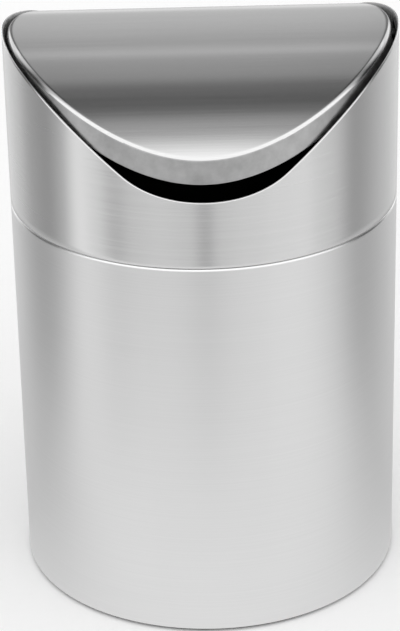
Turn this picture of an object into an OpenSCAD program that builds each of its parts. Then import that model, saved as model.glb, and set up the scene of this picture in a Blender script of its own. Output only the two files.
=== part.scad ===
// Countertop waste can with a swing lid: a round steel can, a lift-off steel head whose
// rim sweeps down at the front and the back, and a vaulted flap that swings in that rim.
// The origin is on the surface that the can stands on, at its centre. The front is
// towards -Y, up is +Z, and the flap's pivots lie along X.

/* [Can] */
// Outside diameter of the can and of the head
can_d = 120; // [100:1:170]
// Height of the can, from the surface to the top of its rolled edge
can_h = 124.6; // [90:0.1:200]
// Thickness of the sheet steel
sheet = 0.5; // [0.4:0.05:0.7]
// Radius of the roll along the can's top edge
roll_r = 1; // [0.9:0.05:1.2]
// Radius at which the wall turns in along the bottom edge
turn_r = 1.2; // [1:0.1:2]
// Width of the flat that the wall turns into
turn_w = 2; // [1.5:0.1:3]
// Height of the bottom pan above the surface
pan_rise = 8; // [6:0.5:14]
// How much higher the middle of the pan is pressed
dish_rise = 1; // [0.5:0.1:2]
// Width of the pan's flat border, outside its pressed middle
dish_border = 14; // [8:1:24]

/* [Base ring] */
// Height of the plastic ring under the steel
foot_h = 0.6; // [0.4:0.1:1.5]
// Thickness of the ring's upright web
foot_web = 1.4; // [1:0.1:2.5]
// Thickness of the lip that clips over the steel
foot_lip = 0.9; // [0.6:0.1:1.5]
// How far the foot and the lip stay back from the turned edge
foot_inset = 0.3; // [0:0.1:0.8]

/* [Head] */
// Height of the head's wall at the front and the back
head_low = 20.8; // [15:0.1:30]
// Height of the head's wall at the sides, where the pivots are
head_high = 54.4; // [48:0.1:64]
// Radius of the rim's crown, seen from the side
crown_r = 90; // [75:1:110]
// Half the width of the rim's crown
crown_y = 26; // [20:1:30]
// Radius of the hollow sweeps at the front and the back
sweep_r = 32; // [24:1:40]
// Slope of the sweeps where they reach the front and the back, in degrees
sweep_angle = 45.6; // [40:0.2:52]
// Gap between the can's roll and the head
seat_gap = 0.1; // [0.05:0.05:0.3]

/* [Collar] */
// Thickness of the plastic collar's walls
collar_t = 1.4; // [1:0.1:2]
// Height of the collar inside the head
collar_h = 10; // [8:0.5:14]
// Depth of the spigot inside the can
spigot_h = 12; // [8:0.5:20]
// Radial gap between the spigot and the can's roll
spigot_gap = 0.3; // [0.2:0.05:0.6]
// Width of the chamfer that leads the spigot in
spigot_chamfer = 0.7; // [0.4:0.1:0.9]

/* [Flap] */
// Radial gap between the flap and the head's wall
flap_gap = 1.3; // [1.2:0.05:1.8]
// How far the flap's crown lies below the rim's crown
flap_drop = 0.2; // [0:0.1:1]
// Radius of the flap's crown, seen from the side
vault_r = 160; // [140:5:200]
// Half the width of the flap's crown
vault_y = 10; // [6:1:14]
// Height of the front gap, between the rim and the level flap's skirt
front_gap = 3.2; // [2.5:0.1:5]
// Height of the skirt round the flap's edge
skirt_h = 7.8; // [7:0.1:9]
// Width of the skirt's folded hem
skirt_hem = 1.5; // [1:0.1:2]
// How far the flap hangs off level at rest, front edge up
rest_tilt = 1.8; // [0:0.1:3]
// How far the flap has slid to the left along its pins at rest
rest_shift = 0.3; // [0:0.05:0.3]
// Thickness of the plastic liner under the flap
liner_t = 1.2; // [1:0.1:1.6]
// Thickness of the liner's ribs
rib_t = 1.2; // [0.8:0.1:2]
// Distance of the cross ribs from the middle
rib_y = 24; // [16:1:34]
// Height of the front cross rib under the liner
rib_h = 3; // [2:0.5:6]
// Height of the back cross rib, whose weight lets the flap hang front edge up
back_rib_h = 4.8; // [3:0.1:7]

/* [Pivots] */
// Depth of the pivots' axis below the rim's crown
pivot_drop = 5.1; // [4.8:0.1:5.6]
// Diameter of the pivot pins
pin_d = 3; // [2.6:0.1:3.2]
// Radial running clearance of the pins in their bushes
pin_play = 0.05; // [0.03:0.01:0.1]
// Radial clearance of the pins in the skirt's holes
hole_play = 0.5; // [0.4:0.1:0.8]
// Wall of the nylon bushes
bush_t = 0.7; // [0.5:0.05:0.9]
// Thickness of the bushes' flanges
bush_flange_t = 0.6; // [0.5:0.1:1]
// Wall of the liner's ears round the bushes
ear_wall = 1.2; // [1:0.1:1.4]
// Length of the ears along the axis
ear_l = 6; // [5:0.5:10]
// Diameter of the pins' heads
pin_head_d = 5.2; // [4.8:0.1:6]
// Thickness of the pins' heads
pin_head_t = 1; // [0.8:0.1:1.5]
// End float of the flap between the pins' heads
end_float = 0.35; // [0.35:0.05:0.6]

/* [Straps] */
// Thickness of the steel straps that hold the pins
strap_t = 0.5; // [0.4:0.05:0.6]
// Width of the straps
strap_w = 10; // [9.8:0.1:12]
// Depth of the straps' tops below the rim's crown
strap_drop = 2.1; // [1.9:0.1:2.4]
// Depth of the stop tabs below the pivots' axis
stop_drop = 8.4; // [8.2:0.1:10]
// Height of the stop tabs
stop_h = 2.5; // [2:0.1:4]
// Width of the stop tabs
stop_w = 2; // [1.5:0.1:2.4]
// How far the stop tabs reach in past the flap's edge
stop_reach = 0.9; // [0.7:0.1:1.3]
// Diameter of the rivets' shanks
rivet_d = 2.4; // [2:0.1:3]
// Diameter of the rivets' heads
rivet_head_d = 4; // [3.6:0.1:4.6]
// Height of the rivets' heads
rivet_head_h = 0.8; // [0.5:0.1:1.2]
// Distance between the two rivets of a strap
rivet_pitch = 5.6; // [4.8:0.1:5.6]

/* [Hidden] */

$fn = 180;
// Gap between pieces of one body that are pressed together
fit = 0.05;
// Length by which cutting shapes pass the faces that they cut
over = 1;
// Depth by which each arc of an outline overlaps the next, so that the two cross cleanly
lap = 0.01;

steel = [0.78, 0.78, 0.79];
plain_steel = [0.68, 0.69, 0.70];
black_steel = [0.13, 0.13, 0.14];
black_plastic = [0.09, 0.09, 0.10];
nylon = [0.88, 0.87, 0.83];

// The can
can_r = can_d / 2;
wall_r = can_r - sheet;

// The head's heights
head_z = can_h + seat_gap;
low_z = head_z + head_low;
high_z = head_z + head_high;

// The three arcs of the rim, as [y, z] in its side view: the crown, a shoulder that carries
// it on, and a hollow sweep that ends at the front or the back with the given slope
crown_c = [0, high_z - crown_r];
crown_n = [crown_y, sqrt(crown_r ^ 2 - crown_y ^ 2)] / crown_r;
crown_end = crown_c + (crown_r + lap) * crown_n;
sweep_c = [can_r, low_z] + sweep_r * [sin(sweep_angle), cos(sweep_angle)];
shoulder_r = radius_to_circle(crown_end, crown_n, sweep_c, sweep_r - lap);
shoulder_c = crown_end - shoulder_r * crown_n;
sweep_y = shoulder_c[0] + (sweep_c[0] - shoulder_c[0]) * shoulder_r / (shoulder_r + sweep_r - lap);

// The collar
collar_r = wall_r - fit;
collar_in = collar_r - collar_t;
spigot_r = can_r - 2 * roll_r - spigot_gap;
spigot_in = spigot_r - collar_t;

// The flap
pivot_z = high_z - pivot_drop;
flap_r = wall_r - flap_gap;
flap_in = flap_r - sheet;
flap_z = high_z - flap_drop;
vault_c = [0, flap_z - vault_r];
vault_n = [vault_y, sqrt(vault_r ^ 2 - vault_y ^ 2)] / vault_r;
vault_end = vault_c + (vault_r + lap) * vault_n;
vault_edge = [flap_r, low_z + front_gap + skirt_h];
vault_side_r = radius_through(vault_end, vault_n, vault_edge);
vault_side_c = vault_end - vault_side_r * vault_n;
liner_r = flap_in - fit;
liner_in = liner_r - liner_t;

// The pivots, as distances from the middle along X
pin_r = pin_d / 2;
bush_in = pin_r + pin_play;
bush_r = bush_in + bush_t;
ear_r = bush_r + ear_wall;
ear_x = sqrt((flap_r - skirt_hem - fit) ^ 2 - ear_r ^ 2);
ear_x0 = ear_x - ear_l;
bush_flange_r = ear_r - fit;
pin_x0 = ear_x0 - bush_flange_t - end_float;
pin_x1 = wall_r - 2 * fit;
skirt_hole_r = pin_r + hole_play;

// The straps
strap_r = wall_r - fit;
strap_in = strap_r - strap_t;
joggle_r = collar_in - fit;
joggle_in = joggle_r - strap_t;
joggle_z = head_z + collar_h + fit;
strap_z0 = head_z + collar_t + fit;
strap_z1 = high_z - strap_drop;
stop_x = flap_r - stop_reach;
rivet_z = (strap_z0 + joggle_z) / 2;

// Radius of the arc that starts at point e, square to the direction n, and passes point p
function radius_through(e, n, p) = (e - p) * (e - p) / (2 * ((e - p) * n));

// Radius of the arc that starts at point e, square to the direction n, and touches from
// outside the circle of radius r round c
function radius_to_circle(e, n, c, r) = ((e - c) * (e - c) - r ^ 2) / (2 * (r + (e - c) * n));

// A side view, drawn as [y, z], carried along X through the whole object
module along_x() {
    rotate([90, 0, 90])
        linear_extrude(height = can_d + 2 * over, center = true)
            children();
}

// A round wall between two radii and two heights
module tube(outer, inner, z0, z1) {
    translate([0, 0, z0])
        difference() {
            cylinder(r = outer, h = z1 - z0);
            translate([0, 0, -over])
                cylinder(r = inner, h = z1 - z0 + 2 * over);
        }
}

// A rod along X on the pivots' axis, from x0 to x1 on the side that side names
module pivot_rod(side, r, x0, x1) {
    translate([side > 0 ? x0 : -x1, 0, pivot_z])
        rotate([0, 90, 0])
            cylinder(r = r, h = x1 - x0, $fn = 64);
}

// One half of an outline's side discs in the side view: a disc round [y, z] on the side that
// s names, from a little past the middle outwards and from base_z up
module side_disc(s, c, r, base_z) {
    intersection() {
        translate([s * c[0], c[1]])
            circle(r = r);
        translate([s > 0 ? -over : -can_r - over, base_z])
            square([can_r + 2 * over, 2 * can_r]);
    }
}

// Everything below the rim in the side view: crown, shoulders and hollow sweeps
module below_rim() {
    base_z = head_z - over;
    intersection() {
        translate(crown_c)
            circle(r = crown_r);
        translate([-crown_y, base_z])
            square([2 * crown_y, high_z + over - base_z]);
    }
    difference() {
        for (s = [-1, 1]) {
            side_disc(s, shoulder_c, shoulder_r, base_z);
            translate([s > 0 ? sweep_y : -can_r - over, base_z])
                square([can_r + over - sweep_y, sweep_c[1] - base_z]);
        }
        for (s = [-1, 1])
            translate([s * sweep_c[0], sweep_c[1]])
                circle(r = sweep_r);
    }
}

// Everything below the flap's vault in the side view, its arcs moved in by depth and the
// whole lowered by drop
module below_vault(depth = 0, drop = 0) {
    base_z = pivot_z - can_r;
    translate([0, -drop]) {
        intersection() {
            translate(vault_c)
                circle(r = vault_r - depth);
            translate([-vault_y, base_z])
                square([2 * vault_y, flap_z + over - base_z]);
        }
        for (s = [-1, 1])
            side_disc(s, vault_side_c, vault_side_r - depth, base_z);
    }
}

// The round block under the flap's vault, inside a radius
module vault_block(r, depth = 0, drop = 0) {
    intersection() {
        translate([0, 0, pivot_z - can_r - skirt_h])
            cylinder(r = r, h = can_d);
        along_x()
            below_vault(depth, drop);
    }
}

// Turns the level flap to the angle at which it hangs, with its front edge up, and slides it
// along its pins
module hang() {
    translate([-rest_shift, 0, pivot_z])
        rotate([-rest_tilt, 0, 0])
            translate([0, 0, -pivot_z])
                children();
}

module can_shell() {
    color(steel)
        rotate_extrude() {
            translate([wall_r, foot_h + turn_r])
                square([sheet, can_h - roll_r - foot_h - turn_r]);
            translate([can_r - roll_r, can_h - roll_r])
                difference() {
                    circle(r = roll_r, $fn = 48);
                    circle(r = roll_r - sheet, $fn = 48);
                }
            intersection() {
                translate([can_r - turn_r, foot_h + turn_r])
                    difference() {
                        circle(r = turn_r, $fn = 48);
                        circle(r = turn_r - sheet, $fn = 48);
                    }
                translate([can_r - turn_r, foot_h])
                    square(turn_r);
            }
            translate([can_r - turn_r - turn_w, foot_h])
                square([turn_w, sheet]);
        }
}

module bottom_pan() {
    pan_r = wall_r - fit;
    dish_r = pan_r - dish_border;
    flange_z = foot_h + turn_r + fit;
    color(plain_steel)
        rotate_extrude()
            polygon([
                [0, pan_rise + dish_rise],
                [dish_r - dish_rise, pan_rise + dish_rise],
                [dish_r, pan_rise],
                [pan_r - sheet, pan_rise],
                [pan_r - sheet, flange_z],
                [pan_r, flange_z],
                [pan_r, pan_rise + sheet],
                [dish_r, pan_rise + sheet],
                [dish_r - dish_rise, pan_rise + dish_rise + sheet],
                [0, pan_rise + dish_rise + sheet]
            ]);
}

module base_ring() {
    web_r = can_r - turn_r - turn_w - fit;
    grip_r = can_r - turn_r - foot_inset;
    lip_z = foot_h + sheet + fit;
    color(black_plastic)
        rotate_extrude() {
            translate([web_r - foot_web, 0])
                square([foot_web, lip_z + foot_lip]);
            translate([web_r - foot_web, 0])
                square([grip_r - web_r + foot_web, foot_h - fit]);
            translate([web_r - foot_web, lip_z])
                square([grip_r - web_r + foot_web, foot_lip]);
        }
}

// The wall under the rim
module head_shell() {
    color(steel)
        difference() {
            intersection() {
                translate([0, 0, head_z])
                    cylinder(r = can_r, h = head_high + over);
                along_x()
                    below_rim();
            }
            translate([0, 0, head_z - over])
                cylinder(r = wall_r, h = head_high + 3 * over);
        }
}

module head_collar() {
    color(black_plastic)
        difference() {
            rotate_extrude()
                polygon([
                    [spigot_in, head_z - spigot_h],
                    [spigot_r - spigot_chamfer, head_z - spigot_h],
                    [spigot_r, head_z - spigot_h + 2 * spigot_chamfer],
                    [spigot_r, head_z],
                    [collar_r, head_z],
                    [collar_r, head_z + collar_h],
                    [collar_in, head_z + collar_h],
                    [collar_in, head_z + collar_t],
                    [spigot_in, head_z + collar_t]
                ]);
            rivet_rods(rivet_d / 2, joggle_in, can_r);
        }
}

// Rods along X at the places of the four rivets, between two distances from the middle
module rivet_rods(r, x0, x1) {
    for (s = [-1, 1], t = [-1, 1])
        translate([s > 0 ? x0 : -x1, t * rivet_pitch / 2, rivet_z])
            rotate([0, 90, 0])
                cylinder(r = r, h = x1 - x0, $fn = 48);
}

// A strap that rises inside the head from the collar, with a step over the collar's edge,
// a bore for the pin and a tab that the swinging flap stops against
module pivot_strap(side) {
    color(black_steel)
        difference() {
            intersection() {
                union() {
                    tube(joggle_r, joggle_in, strap_z0, joggle_z + strap_t);
                    tube(strap_r, joggle_in, joggle_z, joggle_z + strap_t);
                    tube(strap_r, strap_in, joggle_z, strap_z1);
                    difference() {
                        translate([-can_r, -stop_w / 2, pivot_z - stop_drop - stop_h])
                            cube([can_d, stop_w, stop_h]);
                        translate([-stop_x, -can_r, pivot_z - stop_drop - stop_h - over])
                            cube([2 * stop_x, can_d, stop_h + 2 * over]);
                        tube(can_d, strap_in + strap_t / 2, 0, high_z);
                    }
                }
                translate([side > 0 ? 0 : -can_r, -strap_w / 2, head_z])
                    cube([can_r, strap_w, head_high]);
            }
            pivot_rod(side, pin_r, stop_x, can_r);
            rivet_rods(rivet_d / 2, joggle_in - over, can_r);
        }
}

module pivot_strap_left() {
    pivot_strap(-1);
}

module pivot_strap_right() {
    pivot_strap(1);
}

module strap_rivets() {
    shank_x = sqrt(collar_r ^ 2 - (rivet_pitch / 2 + rivet_d / 2) ^ 2) - fit;
    seat_x = sqrt(joggle_in ^ 2 - (rivet_pitch / 2 - rivet_head_d / 2) ^ 2);
    color(black_steel) {
        rivet_rods(rivet_d / 2, seat_x - rivet_head_h, shank_x);
        difference() {
            rivet_rods(rivet_head_d / 2, seat_x - rivet_head_h, seat_x + over);
            tube(can_d, joggle_in, 0, high_z);
        }
    }
}

// A headed pin that passes through the flap's bush and is pressed into the strap
module pivot_pin(side) {
    color(black_steel) {
        pivot_rod(side, pin_r, pin_x0 - pin_head_t, pin_x1);
        pivot_rod(side, pin_head_d / 2, pin_x0 - pin_head_t, pin_x0);
    }
}

module pivot_pin_left() {
    pivot_pin(-1);
}

module pivot_pin_right() {
    pivot_pin(1);
}

// A flanged bush in the liner's ear
module pivot_bush(side) {
    color(nylon)
        hang()
            difference() {
                union() {
                    pivot_rod(side, bush_r, ear_x0 - bush_flange_t, ear_x);
                    pivot_rod(side, bush_flange_r, ear_x0 - bush_flange_t, ear_x0);
                }
                pivot_rod(side, bush_in, 0, can_r);
            }
}

module pivot_bush_left() {
    pivot_bush(-1);
}

module pivot_bush_right() {
    pivot_bush(1);
}

// A vault of sheet steel with a skirt whose bottom edge is folded in
module flap_cover() {
    hem_drop = skirt_h - sheet;
    color(steel)
        hang()
            difference() {
                vault_block(flap_r);
                difference() {
                    vault_block(flap_in, sheet);
                    vault_block(flap_r, 0, hem_drop);
                }
                vault_block(flap_r - skirt_hem, 0, hem_drop - sheet);
                vault_block(flap_r + over, 0, skirt_h);
                for (side = [-1, 1])
                    pivot_rod(side, skirt_hole_r, ear_x, can_r);
            }
}

// A plastic lining under the cover, with an ear for each bush, a spine between the ears
// and two cross ribs
module flap_liner() {
    under = sheet + fit;
    buried = under + liner_t / 2;
    color(black_plastic)
        hang()
            difference() {
                union() {
                    difference() {
                        vault_block(liner_r, under);
                        vault_block(liner_in, under + liner_t);
                        vault_block(liner_r + over, 0, skirt_h - under);
                    }
                    intersection() {
                        for (side = [-1, 1])
                            pivot_rod(side, ear_r, ear_x0 - over, ear_x);
                        vault_block(liner_r - fit, buried);
                    }
                    intersection() {
                        translate([-ear_x0 - over, -rib_t / 2, pivot_z - pin_r])
                            cube([2 * (ear_x0 + over), rib_t, can_r]);
                        vault_block(liner_r - fit, buried);
                    }
                    cross_rib(-rib_y, rib_h, buried);
                    cross_rib(rib_y, back_rib_h, buried);
                }
                for (side = [-1, 1]) {
                    pivot_rod(side, bush_r, ear_x0 - over, can_r);
                    pivot_rod(side, ear_r + hole_play, pin_x0 - 2 * pin_head_t, ear_x0);
                }
            }
}

// A rib of the liner along X at distance y from the middle, h high under the liner's vault
module cross_rib(y, h, buried) {
    difference() {
        intersection() {
            translate([-can_r, y - rib_t / 2, pivot_z - can_r])
                cube([can_d, rib_t, can_d]);
            vault_block(liner_in + liner_t / 2, buried);
        }
        vault_block(liner_r + over, 0, sheet + fit + liner_t + h);
    }
}

can_shell();
bottom_pan();
base_ring();
head_shell();
head_collar();
pivot_strap_left();
pivot_strap_right();
strap_rivets();
pivot_pin_left();
pivot_pin_right();
pivot_bush_left();
pivot_bush_right();
flap_cover();
flap_liner();
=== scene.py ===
# %% [markdown]
# A round countertop waste can of brushed steel with a swing lid. The exact solids come from
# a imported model, which is loaded first and stays as it is. This lesson dresses it: the four
# pieces of sheet metal are drawn again with their real folds and rolls, every piece gets a
# finish, and a small photo studio is built round the can. The model could also be dressed
# by materials alone, but a folded edge only looks folded when its round shape is there.

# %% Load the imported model
import bpy
import math
import numpy as np
from mathutils import Matrix, Vector


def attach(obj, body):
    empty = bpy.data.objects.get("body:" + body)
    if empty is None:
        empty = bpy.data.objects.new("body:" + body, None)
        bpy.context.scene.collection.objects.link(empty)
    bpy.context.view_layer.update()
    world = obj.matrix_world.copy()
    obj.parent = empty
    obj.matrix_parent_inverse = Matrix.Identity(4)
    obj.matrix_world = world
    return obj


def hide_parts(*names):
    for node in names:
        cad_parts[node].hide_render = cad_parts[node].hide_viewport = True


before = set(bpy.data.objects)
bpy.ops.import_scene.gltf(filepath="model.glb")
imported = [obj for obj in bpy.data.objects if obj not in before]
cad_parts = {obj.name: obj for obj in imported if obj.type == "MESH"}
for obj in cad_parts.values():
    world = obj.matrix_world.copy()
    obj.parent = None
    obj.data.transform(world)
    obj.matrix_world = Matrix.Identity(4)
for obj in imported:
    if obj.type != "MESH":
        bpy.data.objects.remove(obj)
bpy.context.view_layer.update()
print("nodes:", sorted(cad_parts))

# %% [markdown]
# All sizes are in millimetres, as on a drawing, and become metres when a mesh is made. They
# repeat the sizes of the solids, because a piece that is drawn again has to lie exactly on
# its solid. They could be measured on the solids each time, but a named size can be read.

# %% Sizes of the real can
MM = 0.001                        # one millimetre, in metres
CAN_R = 60.0                      # outer radius of the can and of the head
SHEET = 0.5                       # thickness of the sheet metal
WALL_IN = CAN_R - SHEET           # inner radius of both walls
FOOT_H = 0.6                      # underside of the can's turned edge
TURN_R = 1.2                      # radius of that turn
TURN_W = 2.0                      # width of the part that is turned in
CAN_TOP = 124.6                   # top of the can's rolled edge
ROLL_R = 1.0                      # radius of the roll
HEAD_Z = 124.7                    # bottom of the head's wall
RIM_LOW = 145.5                   # the rim at the front and at the back
RIM_HIGH = 179.1                  # the rim at the two sides
CROWN_R = 90.0                    # radius of the rim's crown
CROWN_Y = 26.0                    # how far the crown reaches from the middle
SWEEP_R = 32.0                    # radius of the rim's hollow sweep
SWEEP_ANGLE = math.radians(45.6)  # slope of the rim at the front, seen from the side
FLAP_R = 58.2                     # outer radius of the flap
FLAP_Z = 178.9                    # top of the level flap
VAULT_R = 160.0                   # radius of the vault's middle
VAULT_Y = 10.0                    # how far that middle reaches
FRONT_GAP = 3.2                   # slot between the rim and the level flap at the front
SKIRT_H = 7.8                     # height of the flap's skirt
SKIRT_HEM = 1.5                   # how far the skirt's bottom edge is turned in
FOLD_R = 1.9                      # outer radius of the fold between vault and skirt
PIVOT_Z = 174.0                   # height of the pivots
REST_TILT = math.radians(1.8)     # the flap hangs with its front edge this much up
REST_SHIFT = 0.3                  # and this much to the left on its pins
PIN_HOLE_R = 2.0                  # radius of the holes for the pins
print("height", RIM_HIGH, "mm, width", 2 * CAN_R, "mm")

# %% [markdown]
# Seen from the side, half of the rim is three arcs that touch smoothly: a crown, a shoulder
# and a hollow sweep. Half of the flap's vault is two. A free curve could draw both, but a
# few arcs follow the real outline within some tenths of a millimetre, and they stay smooth.

# %% Arcs that touch
def touching_arc(start, normal, centre, radius):
    """Radius of the arc that leaves start square to normal and touches a circle from outside:
    (distance from start to the circle's centre, squared, minus its radius squared), divided by
    twice (its radius plus the part of start minus centre that lies along normal)."""
    gap = start - centre
    return (gap @ gap - radius ** 2) / (2 * (radius + gap @ normal))


crown_c = np.array([0.0, RIM_HIGH - CROWN_R])
crown_n = np.array([CROWN_Y, math.sqrt(CROWN_R ** 2 - CROWN_Y ** 2)]) / CROWN_R
crown_end = crown_c + CROWN_R * crown_n
sweep_out = np.array([math.sin(SWEEP_ANGLE), math.cos(SWEEP_ANGLE)])
sweep_c = np.array([CAN_R, RIM_LOW]) + SWEEP_R * sweep_out
shoulder_r = touching_arc(crown_end, crown_n, sweep_c, SWEEP_R)
shoulder_c = crown_end - shoulder_r * crown_n
sweep_y = shoulder_c[0] + (sweep_c[0] - shoulder_c[0]) * shoulder_r / (shoulder_r + SWEEP_R)
vault_c = FLAP_Z - VAULT_R
vault_n = np.array([VAULT_Y, math.sqrt(VAULT_R ** 2 - VAULT_Y ** 2)]) / VAULT_R
vault_end = np.array([0.0, vault_c]) + VAULT_R * vault_n
vault_edge = np.array([FLAP_R, RIM_LOW + FRONT_GAP + SKIRT_H])
side_r = touching_arc(vault_end, vault_n, vault_edge, 0.0)
side_c = vault_end - side_r * vault_n
print("shoulder radius", round(shoulder_r, 1), "mm, side arc of the vault", round(side_r, 1), "mm")

# %% [markdown]
# The rim and the vault run straight from left to right, so their height depends only on y,
# the distance from the middle towards the back. As functions of y they work on whole arrays
# of points at once. The vault's lean is needed as well, to bend its edge down into the fold.

# %% Outlines seen from the side
def rim_height(y):
    """Height of the rim at distance y from the middle: a circle's top half for the crown and
    the shoulder, and the bottom half of a circle for the sweep."""
    y = np.abs(y)
    crown = crown_c[1] + np.sqrt(CROWN_R ** 2 - np.minimum(y, CROWN_Y) ** 2)
    shoulder = shoulder_c[1] + np.sqrt(shoulder_r ** 2 - (np.clip(y, 0, sweep_y) - shoulder_c[0]) ** 2)
    sweep = sweep_c[1] - np.sqrt(SWEEP_R ** 2 - (np.maximum(y, sweep_y) - sweep_c[0]) ** 2)
    return np.where(y < CROWN_Y, crown, np.where(y < sweep_y, shoulder, sweep))


def vault_height(y):
    """Height of the level flap at y: circle tops again, a flat one in the middle and a
    rounder one outside."""
    y = np.abs(y)
    middle = vault_c + np.sqrt(VAULT_R ** 2 - np.minimum(y, VAULT_Y) ** 2)
    outside = side_c[1] + np.sqrt(side_r ** 2 - (y - side_c[0]) ** 2)
    return np.where(y < VAULT_Y, middle, outside)


def vault_lean(y):
    """Angle in radians by which the vault falls away at y: the arcsine of the distance from
    the arc's centre line over the arc's radius, positive in the back half."""
    away = np.abs(y)
    middle = np.arcsin(np.minimum(away, VAULT_Y) / VAULT_R)
    outside = np.arcsin((away - side_c[0]) / side_r)
    return np.sign(y) * np.where(away < VAULT_Y, middle, outside)


print("rim at the front", round(float(rim_height(CAN_R)), 2), "mm")
print("vault at its edge", round(float(vault_height(FLAP_R)), 2), "mm")

# %% [markdown]
# A mesh can be modelled by hand, spun with an operator, or worked out as a grid of points.
# The grid is the easiest to keep exact: one number runs along the profile, the other round
# the can, and each cell becomes a face. Where a profile starts on the axis, its first row
# is one point, so the faces there are triangles. A last row on the axis works the same way.

# %% A grid of points becomes a mesh
def grid_piece(name, grid, closed):
    """Makes an object from grid[i, j], in millimetres: i runs along the profile and j round
    the can. Cell i, j joins point i, j to its next ones, and j wraps round. A closed profile
    wraps too; an open one starts and ends in a single point on the axis."""
    rows, columns = grid.shape[:2]
    index = np.arange(rows * columns).reshape(rows, columns)
    if not closed:
        index[0], index[-1] = index[0, 0], index[-1, 0]
    last = index if closed else index[:-1]
    after = np.roll(index, -1, 0)[: len(last)]
    quads = np.stack([last, np.roll(last, -1, 1), np.roll(after, -1, 1), after], 2).reshape(-1, 4)
    used, flat = np.unique(quads, return_inverse=True)
    quads = flat.reshape(-1, 4)
    start_pole = quads[:, 0] == quads[:, 1]
    end_pole = quads[:, 2] == quads[:, 3]
    faces = quads[~start_pole & ~end_pole].tolist()
    faces += quads[start_pole][:, [0, 2, 3]].tolist()
    faces += quads[end_pole][:, :3].tolist()
    mesh = bpy.data.meshes.new(name)
    mesh.from_pydata((grid.reshape(-1, 3)[used] * MM).tolist(), [], faces)
    mesh.shade_smooth()
    mesh.validate()
    piece = bpy.data.objects.new(name, mesh)
    bpy.context.scene.collection.objects.link(piece)
    print(name, len(mesh.vertices), "points,", len(mesh.polygons), "faces")
    return piece


# %% [markdown]
# Sheet metal in section is made of straight runs and bends. Two small functions draw them,
# and a section is their points in a row. A Bevel modifier could round the corners, but it
# can't know that the inside of a bend is tighter than its outside by the sheet's thickness.

# %% Straight runs and bends
def arc(r, z, radius, start, end, steps=12):
    """Points on a circle round (r, z), from one angle to the other in degrees: the centre
    plus the radius times the cosine and the sine."""
    angle = np.radians(np.linspace(start, end, steps))
    return np.stack([r + radius * np.cos(angle), z + radius * np.sin(angle)], 1)


def straight(a, b, steps=6, lead=0.3):
    """Points from a to b, with one a short lead inside each end, so that the shading of the
    straight part isn't bent by the curve next to it."""
    a, b = np.array(a, float), np.array(b, float)
    t = lead / np.linalg.norm(b - a)
    along = np.concatenate([[t], np.linspace(0, 1, steps)[1:-1], [1 - t]])[:, None]
    return a + along * (b - a)


print("a bend takes", len(arc(0, 0, 1, 0, 90)), "points, a straight run", len(straight((0, 0), (1, 0))))

# %% [markdown]
# A lathe turns a section into a round piece. The Spin operator could do that too, but points
# that are worked out can be put in a grid with others. 480 steps round the can make each
# face 0.8 mm wide, which shows no corners even close up.

# %% Round the can
ROUND = np.linspace(0, 2 * math.pi, 480, endpoint=False)


def lathe(profile):
    """Carries a profile of (r, z) points round the can: x is r times the cosine of the angle,
    y is r times the sine, and z stays."""
    r, z = profile[:, :1], profile[:, 1:]
    return np.stack([r * np.cos(ROUND), r * np.sin(ROUND), z + 0 * ROUND], 2)


print("each step round the can is", round(CAN_R * ROUND[1], 2), "mm")

# %% [markdown]
# Materials come before the pieces, so that each piece can take its own as it is made. Every
# colour is written as an sRGB hex value and made linear once, because the renderer works
# with linear light. One helper adds a node, sets it and links it, which keeps the trees
# short. Where several inputs of a node share a name, they go by number: in Mix, 0 is the
# share, 2 and 3 are two values, and 6 and 7 are two colours. In MapRange, 0 is the value,
# 1 and 2 are the range that it comes in, and 3 and 4 the range that it goes to.

# %% Colours and nodes
def linear(code):
    """sRGB hex to linear RGBA: each channel over 255, then the sRGB curve undone."""
    c = np.array([int(code[i:i + 2], 16) for i in (1, 3, 5)]) / 255
    return (*np.where(c <= 0.04045, c / 12.92, ((c + 0.055) / 1.055) ** 2.4).tolist(), 1.0)


def add(tree, kind, inputs=None, **settings):
    """Adds one shader node. settings are the node's own properties; inputs gives a value, or
    the socket that feeds it, to an input by name or number. Ramp stops are (place, grey)."""
    made = tree.nodes.new("ShaderNode" + kind)
    if kind == "ValToRGB":
        stops, ramp = settings.pop("stops"), made.color_ramp
        ramp.interpolation = settings.pop("interpolation")
        ramp.elements[0].position, ramp.elements[1].position = stops[0][0], stops[-1][0]
        for place, _ in stops[1:-1]:
            ramp.elements.new(place)
        for element, (_, grey) in zip(ramp.elements, stops):
            element.color = (grey, grey, grey, 1)
    for key, value in settings.items():
        setattr(made, key, value)
    for key, value in (inputs or {}).items():
        if isinstance(value, bpy.types.NodeSocket):
            tree.links.new(value, made.inputs[key])
        else:
            made.inputs[key].default_value = value
    return made


def new_material(name):
    """A material with an empty tree and its output node."""
    material = bpy.data.materials.new(name)
    material.use_nodes = True
    material.node_tree.nodes.clear()
    return material, material.node_tree, add(material.node_tree, "OutputMaterial")


FROM_NOISE = {1: 0.3, 2: 0.7}     # a noise stays between these over most of a surface
print("mid grey is", [round(v, 3) for v in linear("#808080")])

# %% [markdown]
# Brushed stainless steel is sheet that an abrasive belt has scratched in one direction. The
# eye sees two things: fine lines along the brushing, and reflections that are smeared across
# it. The lines are a noise pattern stretched 100 times or more along the brushing, which
# moves the colour, the roughness and the height a little. The smear is the shader's own
# anisotropy. A second noise, as large as a hand's wipe, keeps the sheen from being even. A
# real scratch is about 0.05 mm wide, finer than a pixel here, so the pattern is drawn 0.35
# to 0.4 mm wide to show at all.

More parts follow.
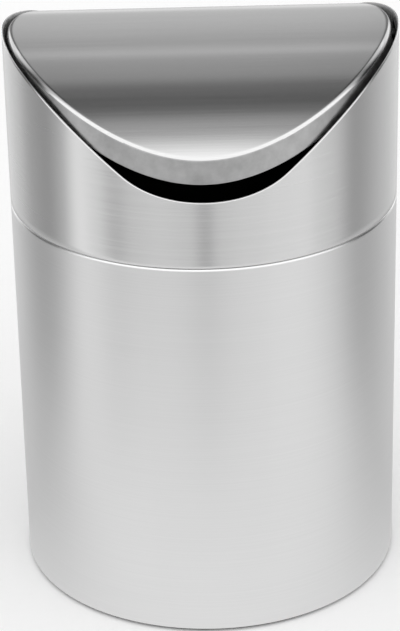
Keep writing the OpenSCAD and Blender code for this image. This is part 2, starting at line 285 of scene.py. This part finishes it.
# %% Brushed stainless steel
def brushed_steel(name, light, dark, scratch, axis, rough, smear, raised):
    """light and dark are the steel between the scratches and in them; scratch is the
    pattern's size in mm along X, Y and Z; axis names the axis that the smear is measured
    round; raised is how strongly the scratches bend the surface."""
    wipe_size, scratch_depth = 45, 0.004
    scratch_rough, wipe_rough = 0.03, 0.012
    quarter_turn = 0.25
    material, tree, output = new_material(name)
    place = add(tree, "TexCoord").outputs["Object"]
    fine = add(tree, "Mapping", {"Vector": place, "Scale": [1 / (s * MM) for s in scratch]})
    lines = add(tree, "TexNoise", {
        "Vector": fine.outputs[0], "Scale": 1.0, "Detail": 3.0, "Roughness": 0.65})
    broad = add(tree, "TexNoise", {"Vector": place, "Scale": 1 / (wipe_size * MM), "Detail": 2.0})
    tint = add(tree, "Mix", {0: lines.outputs[0], 6: linear(dark), 7: linear(light)}, data_type="RGBA")
    grain = add(tree, "MapRange", {
        0: lines.outputs[0], **FROM_NOISE, 3: rough - scratch_rough, 4: rough + scratch_rough})
    wipe = add(tree, "MapRange", {0: broad.outputs[0], **FROM_NOISE, 3: -wipe_rough, 4: wipe_rough})
    dull = add(tree, "Math", {0: grain.outputs[0], 1: wipe.outputs[0]}, operation="ADD")
    height = add(tree, "Bump", {
        "Height": lines.outputs[0], "Strength": raised, "Distance": scratch_depth * MM})
    along = add(tree, "Tangent", direction_type="RADIAL", axis=axis)
    steel = add(tree, "BsdfPrincipled", {
        "Base Color": tint.outputs[2], "Metallic": 1.0, "Roughness": dull.outputs[0],
        "Anisotropic": smear, "Anisotropic Rotation": quarter_turn,
        "Normal": height.outputs[0], "Tangent": along.outputs[0]})
    tree.links.new(steel.outputs[0], output.inputs[0])
    print(name, "scratches", scratch, "mm")
    return material


# %% [markdown]
# Four surfaces are brushed. The walls are brushed round their axis, and the head, polished
# a little finer, shows crisper bands of light than the can. The can's rolled edge is rubbed
# smooth by the tool that curls it, and its steel is made a little lighter than the can's:
# that is a painted highlight for the bright line at the seam. The flap is brushed from side
# to side and is the smoothest.

# %% The four brushed finishes
ROUND_THE_AXIS = (80, 80, 0.35)
SIDE_TO_SIDE = (60, 0.4, 0.4)
can_steel = brushed_steel("stainless_steel_brushed_round_can", "#e8e8e8", "#dedede",
                          ROUND_THE_AXIS, "Z", rough=0.39, smear=0.52, raised=0.12)
head_steel = brushed_steel("stainless_steel_brushed_round_head", "#e0e0e0", "#d4d4d4",
                           ROUND_THE_AXIS, "Z", rough=0.24, smear=0.85, raised=0.12)
# painted highlight: the bead's greys are lighter than the can's, to brighten the line at the seam; its
# lower roughness is the burnish
bead_steel_painted_highlight = brushed_steel("stainless_steel_burnished_bead_painted_highlight", "#eeeeee", "#e4e4e4",
                           ROUND_THE_AXIS, "Z", rough=0.30, smear=0.3, raised=0.05)
flap_steel = brushed_steel("stainless_steel_brushed_across_flap", "#dedede", "#cbcbcb",
                           SIDE_TO_SIDE, "X", rough=0.17, smear=0.4, raised=0.1)

# %% [markdown]
# The bottom pan and the insides of the walls aren't brushed. They keep the mill finish:
# duller and a little cloudy, with no direction that the eye can find. That is plain metal
# with a soft noise in its colour and roughness. The flap's skirt is stretched in the press,
# which clouds its surface in the same way. The can's inside is made much darker than the
# rest: that grey is painted shade, the dark inside the closed can.

# %% Mill finish steel
def mill_steel(name, light, dark, rough, cloud):
    """cloud is the size of the cloudy patches in mm."""
    cloud_rough, cloud_depth = 0.06, 0.01
    material, tree, output = new_material(name)
    place = add(tree, "TexCoord").outputs["Object"]
    patches = add(tree, "TexNoise", {
        "Vector": place, "Scale": 1 / (cloud * MM), "Detail": 5.0, "Roughness": 0.6})
    tint = add(tree, "Mix", {0: patches.outputs[0], 6: linear(dark), 7: linear(light)}, data_type="RGBA")
    dull = add(tree, "MapRange", {
        0: patches.outputs[0], **FROM_NOISE, 3: rough - cloud_rough, 4: rough + cloud_rough})
    height = add(tree, "Bump", {
        "Height": patches.outputs[0], "Strength": 0.1, "Distance": cloud_depth * MM})
    steel = add(tree, "BsdfPrincipled", {
        "Base Color": tint.outputs[2], "Metallic": 1.0, "Roughness": dull.outputs[0],
        "Normal": height.outputs[0]})
    tree.links.new(steel.outputs[0], output.inputs[0])
    print(name, "clouds", cloud, "mm")
    return material


pan_steel = mill_steel("steel_sheet_mill_finish", "#c4c4c4", "#b0b0b0", 0.36, 2.5)
# painted shade: the can's inside is a much darker grey than the other mill finishes, for the dark inside
# the closed can
can_inside_painted_shade = mill_steel("steel_sheet_mill_finish_inside_painted_shade", "#787878", "#666666", 0.5, 6.0)
head_inside = mill_steel("steel_sheet_mill_finish_under_rim", "#dcdcdc", "#c4c4c4", 0.42, 3.0)
skirt_steel = mill_steel("stainless_steel_drawn_skirt", "#d0d0d0", "#9a9a9a", 0.34, 4.5)

# %% [markdown]
# The straps, their rivets and the pins have a thin black coating, as small steel fittings
# do against rust. Its black is also painted shade: it stands in for the dark of the slot
# beside the flap, which looks plain black because of it. The coating is satin and a little
# uneven, so it still shows its edges.

# %% Black coated steel
def coated_steel(name, light, dark, smoothest, dullest, fleck):
    """The roughness runs between smoothest and dullest; fleck is the size in mm of the
    uneven spots."""
    fleck_depth = 0.01
    material, tree, output = new_material(name)
    place = add(tree, "TexCoord").outputs["Object"]
    flecks = add(tree, "TexNoise", {"Vector": place, "Scale": 1 / (fleck * MM), "Detail": 4.0})
    tint = add(tree, "Mix", {0: flecks.outputs[0], 6: linear(dark), 7: linear(light)}, data_type="RGBA")
    dull = add(tree, "MapRange", {0: flecks.outputs[0], **FROM_NOISE, 3: smoothest, 4: dullest})
    height = add(tree, "Bump", {
        "Height": flecks.outputs[0], "Strength": 0.2, "Distance": fleck_depth * MM})
    coating = add(tree, "BsdfPrincipled", {
        "Base Color": tint.outputs[2], "Roughness": dull.outputs[0], "Normal": height.outputs[0]})
    tree.links.new(coating.outputs[0], output.inputs[0])
    print(name, "flecks", fleck, "mm")
    return material


# painted shade as well as a coating: this black hides the fittings in the dark of the slot
black_coating_and_painted_shade = coated_steel("steel_black_coated_painted_shade", "#151516", "#0c0c0d", 0.46, 0.58, 0.8)

# %% [markdown]
# The collar, the liner and the base ring are injection moulded. Their mould is spark eroded,
# which leaves an even matt grain of about half a millimetre. It breaks up highlights and
# keeps black plastic from looking like glass. The bushes are natural nylon: waxy, cream
# white, and a little light goes in and comes out again.

# %% Moulded plastics
def moulded(name, colour, rough, grain, depth, ior, soft):
    """grain is the size of the moulded grain and depth its height, both in mm; soft is the
    share of the light that enters."""
    flow_size, flow_rough, light_reach = 30, 0.05, 0.5
    material, tree, output = new_material(name)
    place = add(tree, "TexCoord").outputs["Object"]
    pits = add(tree, "TexNoise", {
        "Vector": place, "Scale": 1 / (grain * MM), "Detail": 2.0, "Roughness": 0.5})
    flow = add(tree, "TexNoise", {"Vector": place, "Scale": 1 / (flow_size * MM), "Detail": 1.0})
    dull = add(tree, "MapRange", {
        0: flow.outputs[0], **FROM_NOISE, 3: rough - flow_rough, 4: rough + flow_rough})
    height = add(tree, "Bump", {"Height": pits.outputs[0], "Strength": 0.5, "Distance": depth * MM})
    plastic = add(tree, "BsdfPrincipled", {
        "Base Color": linear(colour), "Roughness": dull.outputs[0], "IOR": ior,
        "Normal": height.outputs[0],
        "Subsurface Weight": soft, "Subsurface Scale": light_reach * MM})
    tree.links.new(plastic.outputs[0], output.inputs[0])
    print(name, "grain", grain, "mm")
    return material


black_plastic = moulded("polypropylene_moulded_black", "#141415", 0.5, 0.5, 0.03, 1.49, 0.0)
nylon = moulded("nylon_moulded_natural", "#e2dfd4", 0.4, 0.4, 0.01, 1.53, 0.15)

# %% [markdown]
# The can's wall is one sheet, rolled into a tube. Its top edge is curled into a bead that
# stiffens it, and its bottom edge turns in to carry the base. In section that is one closed
# line, so the whole wall is that line carried round the axis. A Solidify modifier could give
# the thickness, but the curl touches the wall, which is simpler to draw directly.

# %% The section of the can's wall
roll_z = CAN_TOP - ROLL_R
turn_z = FOOT_H + TURN_R
turn_r = CAN_R - TURN_R
lip_r = turn_r - TURN_W
can_profile = np.concatenate([
    straight((lip_r, FOOT_H), (turn_r, FOOT_H), 3),
    arc(turn_r, turn_z, TURN_R, -90, 0),
    straight((CAN_R, turn_z), (CAN_R, roll_z), 24),
    arc(CAN_R - ROLL_R, roll_z, ROLL_R, 0, 300, 36),
    straight((WALL_IN, roll_z - ROLL_R), (WALL_IN, turn_z), 24),
    arc(turn_r, turn_z, TURN_R - SHEET, 0, -90),
    straight((turn_r, FOOT_H + SHEET), (lip_r, FOOT_H + SHEET), 3),
    arc(lip_r, FOOT_H + SHEET / 2, SHEET / 2, 90, 270, 6),
])
print("the section has", len(can_profile), "points")

# %% [markdown]
# One sheet can have several finishes: brushed outside, plain inside, polished on its edge.
# The can's plain inside is also darkened, as painted shade.
# The sheet could be cut into several objects for that, but a real one is in one piece. So
# each face gets the number of its material instead, chosen by where its middle lies.

# %% The can's wall
def finish_faces(piece, whole, *parts):
    """Gives the piece its material, and others to parts of it. Each part is a material and a
    test of (x, y, z), in millimetres, which its faces' middles pass."""
    middle = np.zeros(3 * len(piece.data.polygons), np.float32)
    piece.data.polygons.foreach_get("center", middle)
    x, y, z = (middle.reshape(-1, 3) / MM).T
    number = np.zeros(len(x), np.int32)
    piece.data.materials.clear()
    piece.data.materials.append(whole)
    for material, test in parts:
        piece.data.materials.append(material)
        number[test(x, y, z)] = len(piece.data.materials) - 1
    piece.data.polygons.foreach_set("material_index", number)
    print(piece.name, "faces in each finish:", np.bincount(number).tolist())


# this mask picks the faces that take the can's painted shade
def inside_the_can(x, y, z):
    """True on the wall's inner face, under the roll: deeper than the middle of the sheet."""
    return (np.hypot(x, y) < CAN_R - 0.6 * SHEET) & (z < roll_z - 0.9 * ROLL_R)


def on_the_bead(x, y, z):
    """True on the upper half of the roll."""
    return z > roll_z


can_wall = grid_piece("can_wall", lathe(can_profile), True)
finish_faces(can_wall, can_steel, (can_inside_painted_shade, inside_the_can), (bead_steel_painted_highlight, on_the_bead))
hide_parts("can_shell")
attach(can_wall, "can")

# %% [markdown]
# The bottom is a pressed pan. A press can't make a sharp corner, so its middle is raised over
# a soft step and its border turns down through a curve. Its section is a line down the middle
# of the sheet, thickened to both sides, which is how a sheet metal worker draws it.

# %% The bottom pan
def thicken(line, thickness):
    """Both sides of a sheet whose middle is line: every point moves half the thickness square
    to the line, once to each side, and the second side runs back."""
    step = np.gradient(line, axis=0)
    half = np.stack([-step[:, 1], step[:, 0]], 1) / np.linalg.norm(step, axis=1)[:, None] * thickness / 2
    return np.concatenate([line + half, (line - half)[::-1]])


pan_z, dish_z = 8.25, 9.25        # middle of the sheet in the border and in the raised middle
dish_r, step_r = 44.0, 0.8        # radius of the raised middle, and of the step's two curves
border_r = WALL_IN - 0.3          # middle of the sheet in the part that turns down
bend_r, border_z = 1.5, 1.9       # radius of that turn, and its bottom edge
pan_line = np.concatenate([
    straight((0, dish_z), (dish_r, dish_z), 8),
    arc(dish_r + step_r / 2, dish_z - step_r, step_r, 88, 45, 5),
    arc(dish_r + 2 * step_r, pan_z + step_r, step_r, 225, 268, 5),
    straight((dish_r + 2.5 * step_r, pan_z), (border_r - bend_r, pan_z), 4),
    arc(border_r - bend_r, pan_z - bend_r, bend_r, 90, 0, 10),
    straight((border_r, pan_z - bend_r), (border_r, border_z), 4),
])
pan_line[0, 0] = 0.0
pan_profile = thicken(pan_line, SHEET)
pan_profile[[0, -1], 0] = 0.0
bottom_dish = grid_piece("bottom_dish", lathe(pan_profile[::-1]), False)
bottom_dish.data.materials.append(pan_steel)
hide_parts("bottom_pan")
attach(bottom_dish, "can")

# %% [markdown]
# The head's wall ends in the waved rim. The cut edge of a sheet would be sharp, so its
# outer side is ground round and polished, which draws a bright line along the rim. The
# profile is the same all round, only its top follows the rim, so each row of the grid is a
# share of the way up. On a steep part of the rim the round is stretched upwards, so that it
# stays as wide across as elsewhere.

# %% The rim round the can
def ring(radius, height):
    """One row of a grid: a circle of that radius whose height may change round the can."""
    return np.stack([radius * np.cos(ROUND), radius * np.sin(ROUND), height + 0 * ROUND], 1)


EDGE_R = 0.42                     # the polished round on the rim's outer side
BURR_R = 0.08                     # its inner side is only broken
CHAMFER = 0.1                     # all other cut corners are broken at a slant
LEAD = 0.1                        # a row this near a round keeps it from bending the flat's shading
rim_z = rim_height(np.sin(ROUND) * CAN_R)
step_w = CAN_R * (ROUND[1] - ROUND[0])
slope = np.gradient(np.concatenate([rim_z[-1:], rim_z, rim_z[:1]]), step_w)[1:-1]
stretch = np.sqrt(1 + slope ** 2)
edge_z = rim_z - EDGE_R * stretch
low_edge = HEAD_Z + CHAMFER
print("the rim's steepest slope is", round(math.degrees(math.atan(slope.max()))), "degrees")

# %% The head's wall with its round edge
def under_the_rim(x, y, z):
    """True on the wall's inner face, below the round edge."""
    return (np.hypot(x, y) < WALL_IN + SHEET / 10) & (z < rim_height(y) - EDGE_R)


up_outside = np.concatenate([[0.0], np.linspace(0, 1, 22)[1:-1]])
down_inside = (0.97, 0.75, 0.5, 0.25, 0.02, 0)
head_grid = np.stack(
    [ring(CAN_R - CHAMFER, HEAD_Z)]
    + [ring(CAN_R, low_edge + s * (edge_z - low_edge)) for s in up_outside]
    + [ring(CAN_R, edge_z - LEAD)]
    + [ring(CAN_R - EDGE_R + EDGE_R * math.cos(a), edge_z + EDGE_R * math.sin(a) * stretch)
       for a in np.radians(np.linspace(0, 90, 9))]
    + [ring(WALL_IN + BURR_R + BURR_R * math.cos(a), rim_z - BURR_R * stretch * (1 - math.sin(a)))
       for a in np.radians(np.linspace(110, 180, 4))]
    + [ring(WALL_IN, low_edge + s * (edge_z - low_edge)) for s in down_inside]
    + [ring(WALL_IN + CHAMFER, HEAD_Z)])
head_wall = grid_piece("head_wall", head_grid, True)
finish_faces(head_wall, head_steel, (head_inside, under_the_rim))
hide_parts("head_shell")
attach(head_wall, "head")

# %% [markdown]
# The flap is a lid pressed from one sheet: a vault like a barrel's side, a tight fold all
# round, and a skirt that falls straight down and turns in along its bottom. Seen in a slice
# from the middle outwards, the fold is a small arc between the sloping vault and the upright
# skirt. How far the vault slopes changes round the edge, so the arc's start is worked out for
# all directions at once.

# %% The flap's vault and fold
def flap_rows(thin):
    """Rows of points for the vault and the fold, moved in by thin, and the height of the
    fold's centre. In a slice in direction a, the vault's slope outwards is the tangent of its
    lean times the sine of a. The fold's arc is centred one fold radius inside the skirt and
    touches the vault where the slope's angle is the arc's angle, found in six repeats."""
    out = np.sin(ROUND)
    touch = np.full(len(ROUND), FLAP_R - FOLD_R)
    for _ in range(6):
        fall = np.arctan(np.tan(vault_lean(touch * out)) * out)
        touch = FLAP_R - FOLD_R + FOLD_R * np.sin(fall)
    centre_z = vault_height(touch * out) - FOLD_R * np.cos(fall)
    just_before_the_fold = 0.994
    steps = np.concatenate([np.linspace(0, 1, 41)[:-1], [just_before_the_fold]])
    vault_r = steps[:, None] * touch
    lean = vault_lean(vault_r * out)
    vault = np.stack([vault_r * np.cos(ROUND), vault_r * out - thin * np.sin(lean),
                      vault_height(vault_r * out) - thin * np.cos(lean)], 2)
    angle = (math.pi / 2 - fall) * np.linspace(1, 0, 11)[:, None]
    fold_r = FLAP_R - FOLD_R + (FOLD_R - thin) * np.cos(angle)
    fold_z = centre_z + (FOLD_R - thin) * np.sin(angle)
    fold = np.stack([fold_r * np.cos(ROUND), fold_r * out, fold_z], 2)
    return vault, fold, centre_z


outer_vault, outer_fold, bend_z = flap_rows(0.0)
inner_vault, inner_fold, _ = flap_rows(SHEET)
print("the fold's centre lies from", round(bend_z.min(), 1), "to", round(bend_z.max(), 1), "mm up")

# %% [markdown]
# The skirt is a wall of rings under the fold, out along its outer face, round the hem and
# back up inside. The lid is drawn level, then turned to the angle at which it hangs and slid
# to where it rests along its pins. The object itself could be turned instead, but patterns
# and joints are simplest when every piece has its place in its mesh.

# %% The flap's skin
skirt_z = vault_height(FLAP_R * np.sin(ROUND)) - SKIRT_H
hem_z = skirt_z + SHEET
skirt_in = FLAP_R - SHEET
hem_r = FLAP_R - SKIRT_HEM
skirt_rows = np.stack(
    [ring(FLAP_R, bend_z + s * (hem_z - bend_z)) for s in (0.04, 0.25, 0.5, 0.75, 0.96)]
    + [ring(skirt_in + SHEET * math.cos(a), hem_z + SHEET * math.sin(a))
       for a in np.radians(np.linspace(0, -90, 7))]
    + [ring(hem_r + CHAMFER, skirt_z), ring(hem_r, skirt_z + CHAMFER)]
    + [ring(hem_r, hem_z - CHAMFER), ring(hem_r + CHAMFER, hem_z)]
    + [ring(skirt_in - CHAMFER / 2, hem_z), ring(skirt_in, hem_z + CHAMFER / 2)]
    + [ring(skirt_in, bend_z + s * (hem_z - bend_z)) for s in (0.9, 0.5, 0.1)])
level_x, level_y, level_z = np.moveaxis(np.concatenate([
    outer_vault, outer_fold, skirt_rows, inner_fold[::-1], inner_vault[::-1]]), 2, 0)
rise = level_z - PIVOT_Z
flap_grid = np.stack([
    level_x - REST_SHIFT,
    level_y * math.cos(REST_TILT) + rise * math.sin(REST_TILT),
    rise * math.cos(REST_TILT) - level_y * math.sin(REST_TILT) + PIVOT_Z], 2)
flap_skin = grid_piece("flap_skin", flap_grid[::-1], False)

# %% [markdown]
# The pins reach through the skirt, so it has a drilled hole on each side. A drill is a rod
# along X that is taken away from the skin with a Boolean, and the result is kept as the
# skin's own mesh.

# %% Drill the skirt
def drilled(piece, radius, start, end):
    """Takes a rod along X at the pivots' height away from the piece, on both sides."""
    angle = np.linspace(0, 2 * math.pi, 48, endpoint=False)
    circle = np.stack([0 * angle, radius * np.sin(angle), PIVOT_Z + radius * np.cos(angle)], 1)
    for x0, x1 in ((-end, -start), (start, end)):
        rod = np.stack([circle + [x, 0, 0] for x in (x0, x0, x1, x1)])
        rod[[0, 3], :, 1:] = [0, PIVOT_Z]
        drill = grid_piece("drill", rod[::-1], False)
        cut = piece.modifiers.new("hole", "BOOLEAN")
        cut.operation, cut.solver, cut.object = "DIFFERENCE", "EXACT", drill
        bpy.context.view_layer.update()
        done = bpy.data.meshes.new_from_object(piece.evaluated_get(bpy.context.evaluated_depsgraph_get()))
        piece.modifiers.clear()
        piece.data, done.name = done, piece.name
        bpy.data.objects.remove(drill)
    print(piece.name, "drilled,", len(piece.data.polygons), "faces")


def on_skirt(x, y, z):
    """True on the skirt's outer face: the tilt and the slide are undone, and the distance from
    the flap's own middle has to be nearly its full radius."""
    untilted_y = y * math.cos(REST_TILT) - (z - PIVOT_Z) * math.sin(REST_TILT)
    return np.hypot(x + REST_SHIFT, untilted_y) > FLAP_R - SHEET / 5


INSIDE_SKIRT, OUTSIDE_SKIRT = 50, 62
drilled(flap_skin, PIN_HOLE_R, INSIDE_SKIRT, OUTSIDE_SKIRT)
finish_faces(flap_skin, flap_steel, (skirt_steel, on_skirt))
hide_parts("flap_cover")
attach(flap_skin, "flap")

# %% [markdown]
# The other pieces keep their exact solids: the base ring, the collar, the straps with their
# rivets, the pins, the bushes and the flap's liner. Their shapes are right already, so they
# only get their finish.

# %% Finishes for the exact solids
finish = {
    "base_ring": black_plastic, "head_collar": black_plastic, "flap_liner": black_plastic,
    # the straps, rivets and pins take the black that is partly painted shade
    "pivot_strap_left": black_coating_and_painted_shade, "pivot_strap_right": black_coating_and_painted_shade, "strap_rivets": black_coating_and_painted_shade,
    "pivot_pin_left": black_coating_and_painted_shade, "pivot_pin_right": black_coating_and_painted_shade,
    "pivot_bush_left": nylon, "pivot_bush_right": nylon,
}
for name, material in finish.items():
    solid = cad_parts[name]
    solid.data.materials.clear()
    solid.data.materials.append(material)
print(len(finish), "solids finished")

# %% [markdown]
# Steel has hardly any colour of its own: it shows what stands round it. The studio is
# therefore half of the look. It could be built of real cards and lamps, but a world shader
# that reads the direction of a ray does the same and stays out of the way in every view.
# Two tables of greys describe the room, each along one angle: the heading of a ray round
# the can, and its climb from the front over the top to the back.

# %% Greys along an angle
world = bpy.data.worlds.new("studio")
bpy.context.scene.world = world
world.use_nodes = True
room_tree = world.node_tree
room_tree.nodes.clear()
direction = add(room_tree, "SeparateXYZ", {0: add(room_tree, "TexCoord").outputs["Generated"]})
ray_x, ray_y, ray_z = direction.outputs
forward = add(room_tree, "Math", {0: ray_y, 1: -1.0}, operation="MULTIPLY").outputs[0]


def grey_ramp(value, stops, curve, top):
    """A ramp of greys over value, which runs from 0 to 1; top is the brightest grey, which the
    ramp holds as 1 and the multiplication after it brings back."""
    ramp = add(room_tree, "ValToRGB", {0: value}, interpolation=curve,
               stops=[(place, grey / top) for place, grey in stops])
    return add(room_tree, "Math", {0: ramp.outputs[0], 1: top}, operation="MULTIPLY").outputs[0]


def greys_by_angle(across, greys, curve):
    """Greys over the angle whose tangent is across over forward, in degrees from -180 to 180:
    0 is straight to the front and 180 is straight back. The ramp takes that angle as a share
    of a full turn."""
    angle = add(room_tree, "Math", {0: across, 1: forward}, operation="ARCTAN2").outputs[0]
    share = add(room_tree, "MapRange", {0: angle, 1: -math.pi, 2: math.pi}).outputs[0]
    return grey_ramp(share, [((degrees + 180) / 360, grey) for degrees, grey in greys], curve, 1.6)


print("the world has", len(room_tree.nodes), "nodes that sort rays by direction")

# %% [markdown]
# The upright walls are seen from above, so the rays that they reflect run on downwards. There
# the room has grey and white cards all round the can, and each one makes an upright band on
# the steel. No card stands at the camera's own place, which gives the narrow darker band
# down the middle, and the gaps at the sides give the two broad dark ones.

# %% Cards round the can
cards = [
    (-180, 0.45), (-170, 0.60), (-160, 0.80), (-136, 0.68),                 # behind, on the left
    (-120, 0.49), (-104, 0.42), (-92, 0.58),                                # the dark gap on the left
    (-79, 1.12), (-68, 0.90), (-54, 0.56), (-42, 0.74), (-28, 0.81), (-9, 0.74),    # in front, left
    (0, 0.45),                                                              # the camera's place
    (9, 0.75), (26, 0.85), (45, 0.94), (62, 0.98), (70, 0.84), (80, 0.76),  # in front, right
    (98, 0.46),                                                             # the dark gap on the right
    (130, 0.66), (160, 0.76), (170, 0.60), (180, 0.45),                     # behind, on the right
]
round_room = greys_by_angle(ray_x, cards, "EASE")
print("the room has", len(cards), "stops round it")

# %% [markdown]
# From its front edge to its back, the flap mirrors the room from high in front, over the top,
# down to the horizon behind. A broad bright panel hangs in front, round and over the camera.
# The ceiling is dark, and the wall behind is grey, with a thin lighter strip high up. Rays
# that run back are also dimmed or brightened by how far they go sideways: a dark gap, then a
# bright panel, then dark again. That gives the flap's fold and the line at the seam their
# light and dark parts, because they reflect to the sides as well.

# %% The room overhead
overhead = [
    (-180, 0.78), (-171, 0.90), (-160, 0.62), (-90, 0.60), (-60, 0.60),             # under the horizon
    (0, 0.72), (14, 1.35), (62, 1.42), (72, 1.42),                                  # the bright panel
    (75.5, 1.1), (78.5, 0.85), (81.5, 0.64), (84.5, 0.49), (90, 0.46),              # its soft upper edge
    (95.5, 0.22), (101.5, 0.135), (107.5, 0.185), (112.5, 0.21),                    # the dark ceiling
    (117.5, 0.385), (127.5, 0.435), (133.5, 0.47), (137.5, 0.68), (141.5, 0.57),    # the lighter strip
    (146, 0.49), (154, 0.52), (165, 0.61), (174, 0.62), (180, 0.64),                # the wall behind
]
sides = [(0.08, 1.0), (0.14, 0.35), (0.29, 0.35), (0.35, 1.9), (0.64, 1.9), (0.78, 1.0), (0.89, 0.1)]
sideways = add(room_tree, "Math", {0: ray_x}, operation="ABSOLUTE").outputs[0]
behind = add(room_tree, "MapRange", {0: ray_y, 1: -0.2, 2: 0.1}).outputs[0]
side_light = add(room_tree, "Mix", {
    0: behind, 2: 1.0, 3: grey_ramp(sideways, sides, "LINEAR", 2.0)}).outputs[0]
over_room = add(room_tree, "Math", {
    0: greys_by_angle(ray_z, overhead, "LINEAR"), 1: side_light}, operation="MULTIPLY").outputs[0]
print("the room has", len(overhead), "stops overhead and", len(sides), "to the sides")

# %% [markdown]
# Rays that fall steeply see the cards, all others see the room overhead, and between the two
# they blend. All of that is for reflections only: the camera and every other ray meet plain
# white, so that the picture has a white background and an even, soft light. The world isn't
# sampled as a lamp, because then that white light would reach the metal as well.

# %% The world's two faces
steep, shallow = -0.30, -0.12
above_the_cards = add(room_tree, "MapRange", {0: ray_z, 1: steep, 2: shallow}).outputs[0]
room = add(room_tree, "Mix", {0: above_the_cards, 2: round_room, 3: over_room}).outputs[0]
white = add(room_tree, "Background", {"Color": (1, 1, 1, 1), "Strength": 1.0}).outputs[0]
seen_in_metal = add(room_tree, "Background", {"Color": room, "Strength": 1.0}).outputs[0]
reflected = add(room_tree, "LightPath").outputs["Is Glossy Ray"]
both = add(room_tree, "MixShader", {0: reflected, 1: white, 2: seen_in_metal})
room_tree.links.new(both.outputs[0], add(room_tree, "OutputWorld").inputs[0])
world.cycles.sampling_method = "NONE"
print("the world now has", len(room_tree.nodes), "nodes")

# %% [markdown]
# The can stands on a white table top, and white ground carries on round it, so that no edge
# shows. Both are matt paper and take the can's soft shadow. The brushed walls mirror the
# table, most of all near their foot. Metal therefore sees the table as a painted glow, a
# painted reflection that dims from the front to under the can; that dimming is painted shade
# in place of the shadow, and metal doesn't see the ground.

# %% White paper
def matt_paper_with_painted_glow(name, light, dark, fibre):
    """fibre is the size in mm of the faint marks in the paper. The glow that metal sees falls
    evenly between two places, 80 mm in front of the can's axis and 20 mm behind it."""
    front, front_glow = -80, 0.95
    under, under_glow = 20, 0.70
    material, tree, output = new_material(name)
    place = add(tree, "TexCoord").outputs["Object"]
    marks = add(tree, "TexNoise", {"Vector": place, "Scale": 1 / (fibre * MM), "Detail": 3.0})
    tint = add(tree, "Mix", {0: marks.outputs[0], 6: linear(dark), 7: linear(light)}, data_type="RGBA")
    matt = add(tree, "BsdfDiffuse", {"Color": tint.outputs[2], "Roughness": 0.5})
    depth = add(tree, "SeparateXYZ", {0: place}).outputs[1]
    fade = add(tree, "MapRange", {0: depth, 1: front * MM, 2: under * MM, 3: front_glow, 4: under_glow})
    # painted reflection: metal sees this glow instead of the lit table, dimmer under the can as painted
    # shade
    glow = add(tree, "Emission", {"Color": (1, 1, 1, 1), "Strength": fade.outputs[0]})
    in_metal = add(tree, "LightPath").outputs["Is Glossy Ray"]
    both_looks = add(tree, "MixShader", {0: in_metal, 1: matt.outputs[0], 2: glow.outputs[0]})
    tree.links.new(both_looks.outputs[0], output.inputs[0])
    print(name, "fibres", fibre, "mm")
    return material


paper = matt_paper_with_painted_glow("paper_matt_white_painted_glow", "#fefefe", "#fcfcfc", 2)

# %% The table top and the ground
def flat_ring(name, inner, outer):
    """A flat ring on the floor, or a disc where inner is 0: two circles of points, and each
    face joins a point and its neighbour on one circle to those on the other."""
    points = lathe(np.array([(outer, 0), (inner, 0)], float))
    first = np.arange(len(ROUND))
    after = np.roll(first, -1)
    mesh = bpy.data.meshes.new(name)
    mesh.from_pydata((points.reshape(-1, 3) * MM).tolist(), [],
                     np.stack([first, after, after + len(ROUND), first + len(ROUND)], 1).tolist())
    mesh.materials.append(paper)
    flat = bpy.data.objects.new(name, mesh)
    bpy.context.scene.collection.objects.link(flat)
    print(name, "is", 2 * outer, "mm across")
    return flat


TABLE_R, GROUND_R = 200.0, 6000.0
table_top = flat_ring("table_top", 0, TABLE_R)
ground = flat_ring("ground", TABLE_R, GROUND_R)
ground.visible_glossy = False

# %% [markdown]
# The camera stands where the photographer stood: in front, looking down at 26 degrees, with a
# long lens. A camera matrix is four columns: right, up, backwards and the place. Writing them
# directly avoids guessing at angles. Its numbers come from a fit to the can's outline.

# %% The camera
pitch, yaw, roll, orbit = (math.radians(v) for v in (25.918, -0.1535, -1.2552, -0.5))
FOCAL, FRAME_H, SENSOR = 2557.84, 631, 36    # focal length and frame in pixels, sensor in mm
STAND = (0, -733.90, 437.24)                 # the camera's place in mm, before the orbit
look = Vector((math.sin(yaw) * math.cos(pitch), math.cos(yaw) * math.cos(pitch), -math.sin(pitch)))
level_right = Vector((math.cos(yaw), -math.sin(yaw), 0))
level_up = level_right.cross(look)
camera_right = math.cos(roll) * level_right + math.sin(roll) * level_up
camera_up = math.cos(roll) * level_up - math.sin(roll) * level_right
stand = Matrix((camera_right, camera_up, -look)).transposed().to_4x4()
stand.translation = Vector(STAND) * MM
camera = bpy.data.objects.new("camera", bpy.data.cameras.new("camera"))
bpy.context.scene.collection.objects.link(camera)
camera.matrix_world = Matrix.Rotation(orbit, 4, "Z") @ stand
camera.data.lens = FOCAL * SENSOR / FRAME_H
camera.data.clip_start, camera.data.clip_end = 0.05, 50
bpy.context.scene.camera = camera
bpy.context.scene.view_settings.view_transform = "Standard"
print("lens", round(camera.data.lens, 1), "mm")
